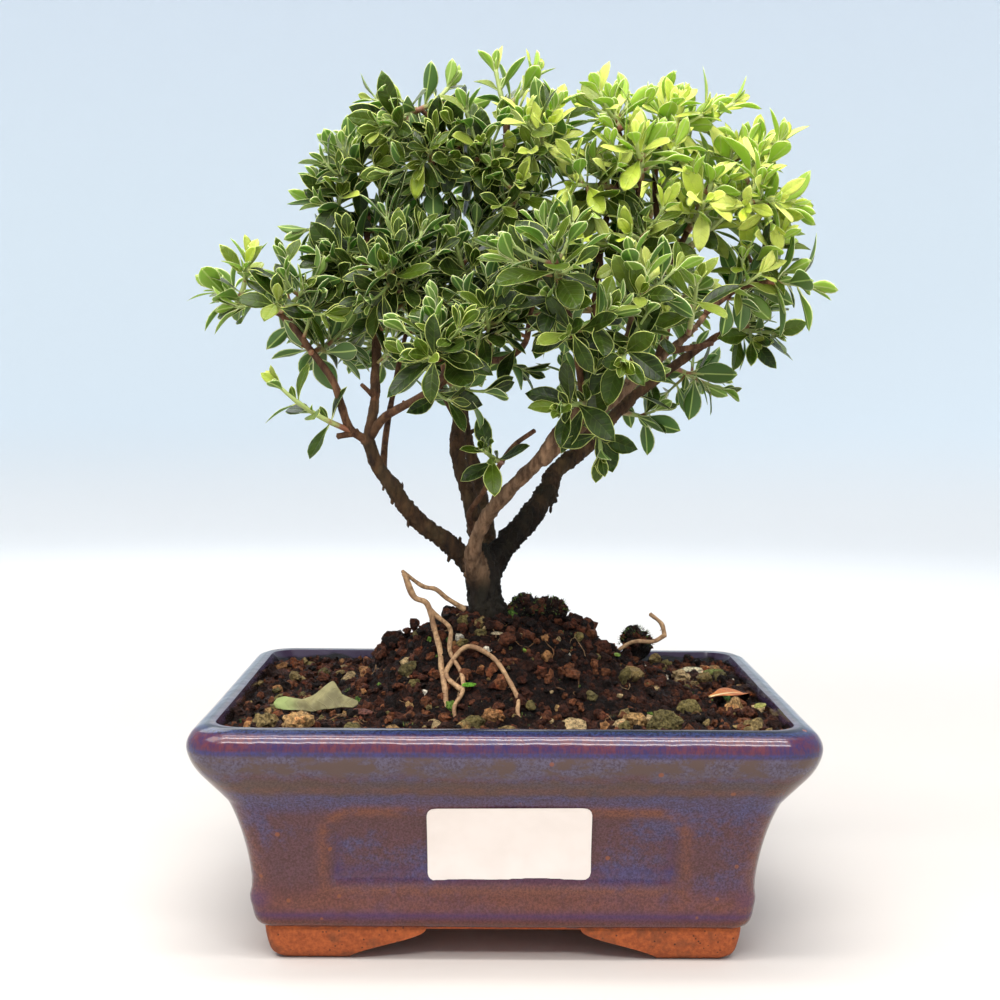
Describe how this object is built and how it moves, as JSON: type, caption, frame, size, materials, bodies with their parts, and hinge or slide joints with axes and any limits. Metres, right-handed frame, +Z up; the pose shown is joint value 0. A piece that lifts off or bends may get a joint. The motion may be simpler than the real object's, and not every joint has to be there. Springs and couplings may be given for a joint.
{
  "type": "serissa bonsai in a glazed pot",
  "caption": "Small serissa bonsai with pointed leaves in a rectangular footed pot, mottled blue glaze, root mound and a blank label.",
  "frame": {"origin": "centre of the bounding box in plan, on the plane that the feet stand on", "axes": "+Z up along the trunk, +X along the pot's length to the right as seen from the label, +Y from the labelled front to the back"},
  "size_m": [0.1702, 0.1282, 0.2326],
  "materials": {
    "glaze": "glossy mottled blue glaze, brown where it is thin, with bare clay feet",
    "screen": "matte black mesh",
    "label": "smooth white, blank",
    "soil": "dark crumbly peat with moss and pebbles",
    "bark": "rough fissured bark",
    "root": "pale smooth root",
    "leaf": "satin green with a pale edge",
    "dry_leaf": "dry matte leaf"
  },
  "bodies": {
    "root": {"pot": "glaze", "drain_screen_left": "screen", "drain_screen_right": "screen", "label": "label", "soil": "soil", "trunk_and_limbs": "bark", "surface_roots_left": "root", "surface_root_right": "root", "fallen_leaf_left": "dry_leaf", "fallen_leaf_right": "dry_leaf", "leaves_far_left": "leaf", "leaves_left_crest": "leaf", "leaves_left_shoot": "leaf", "leaves_left_inner": "leaf", "leaves_left_tip": "leaf", "leaves_left_shoulder": "leaf", "leaves_left_side": "leaf", "leaves_left_back": "leaf", "leaves_left_fork": "leaf", "leaves_left_rosette": "leaf", "leaves_left_mid_tip": "leaf", "leaves_rear_left_tip": "leaf", "leaves_rear_left_side": "leaf", "leaves_top_left_tip": "leaf", "leaves_top_left_low": "leaf", "leaves_top_left_front": "leaf", "leaves_apex": "leaf", "leaves_crest_right": "leaf", "leaves_centre_top": "leaf", "leaves_centre_back": "leaf", "leaves_centre_left": "leaf", "leaves_centre_rosette": "leaf", "leaves_front_rosette": "leaf", "leaves_front_up_side": "leaf", "leaves_right_mid_front": "leaf", "leaves_right_mid_tip": "leaf", "leaves_right_mid_side": "leaf", "leaves_right_top_tip": "leaf", "leaves_right_out_tip": "leaf", "leaves_right_out_front": "leaf", "leaves_right_far_tip": "leaf", "leaves_right_far_side": "leaf", "leaves_right_edge": "leaf", "leaves_right_shoulder": "leaf", "leaves_right_low_tip": "leaf", "leaves_right_low_side": "leaf", "leaves_right_back": "leaf", "leaves_right_back_low": "leaf", "leaves_front_limb_tip": "leaf", "leaves_front_limb_side": "leaf", "leaves_front_low": "leaf", "leaves_front_hanging": "leaf", "leaves_front_whorl": "leaf", "leaves_front_right_side": "leaf", "leaves_rear_top": "leaf", "leaves_rear_side": "leaf", "leaves_rear_left_low": "leaf", "leaves_rear_mid_tip": "leaf", "leaves_rear_right_tip": "leaf", "leaves_rear_right_side": "leaf"}
  },
  "joints": []
}
